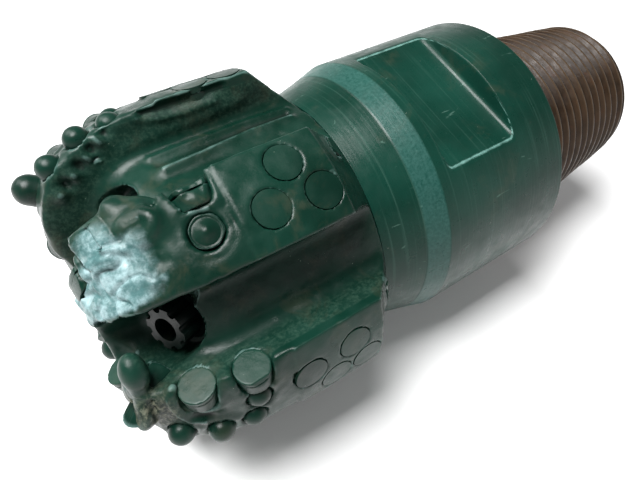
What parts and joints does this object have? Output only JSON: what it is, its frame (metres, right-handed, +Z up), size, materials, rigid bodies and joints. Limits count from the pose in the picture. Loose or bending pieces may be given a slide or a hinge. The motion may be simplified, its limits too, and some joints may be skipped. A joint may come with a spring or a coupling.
{
  "type": "pdc drill bit",
  "caption": "Straight-bladed fixed-cutter drill bit with tapered threaded pin, breaker flats, junk slots, round diamond cutters, flush gauge inserts and fluted nozzles.",
  "frame": {"origin": "centre of the make-up shoulder, on the bit's axis", "axes": "+X along the bit's axis out of the threaded pin, so the cutting end is at -X; +Z up with the bit lying on two of its blades; +Y completes the frame"},
  "size_m": [0.3076, 0.1524, 0.1467],
  "materials": {
    "painted_steel": "aged dark green paint with grime and handling marks",
    "painted_matrix": "green paint over a rough cast body",
    "carbide": "painted over, smooth",
    "gauge_carbide": "ground flush and painted over",
    "diamond_table": "smooth, painted over",
    "nozzle_carbide": "dark and satin",
    "seal_rubber": "matte black"
  },
  "bodies": {
    "root": {"shank": "painted_steel", "weld_ring": "painted_steel", "blank": "painted_steel", "crown": "painted_matrix", "updrill_inserts": "carbide", "cutter_tables_1": "diamond_table", "cutter_substrates_1": "carbide", "gauge_inserts_1": "gauge_carbide", "domed_inserts_1": "carbide", "nozzle_1": "nozzle_carbide", "nozzle_seal_1": "seal_rubber", "cutter_tables_2": "diamond_table", "cutter_substrates_2": "carbide", "gauge_inserts_2": "gauge_carbide", "domed_inserts_2": "carbide", "nozzle_2": "nozzle_carbide", "nozzle_seal_2": "seal_rubber", "cutter_tables_3": "diamond_table", "cutter_substrates_3": "carbide", "gauge_inserts_3": "gauge_carbide", "domed_inserts_3": "carbide", "nozzle_3": "nozzle_carbide", "nozzle_seal_3": "seal_rubber", "cutter_tables_4": "diamond_table", "cutter_substrates_4": "carbide", "gauge_inserts_4": "gauge_carbide", "domed_inserts_4": "carbide", "nozzle_4": "nozzle_carbide", "nozzle_seal_4": "seal_rubber", "cutter_tables_5": "diamond_table", "cutter_substrates_5": "carbide", "gauge_inserts_5": "gauge_carbide", "domed_inserts_5": "carbide", "nozzle_5": "nozzle_carbide", "nozzle_seal_5": "seal_rubber", "cutter_tables_6": "diamond_table", "cutter_substrates_6": "carbide", "gauge_inserts_6": "gauge_carbide", "domed_inserts_6": "carbide", "nozzle_6": "nozzle_carbide", "nozzle_seal_6": "seal_rubber"}
  },
  "joints": []
}
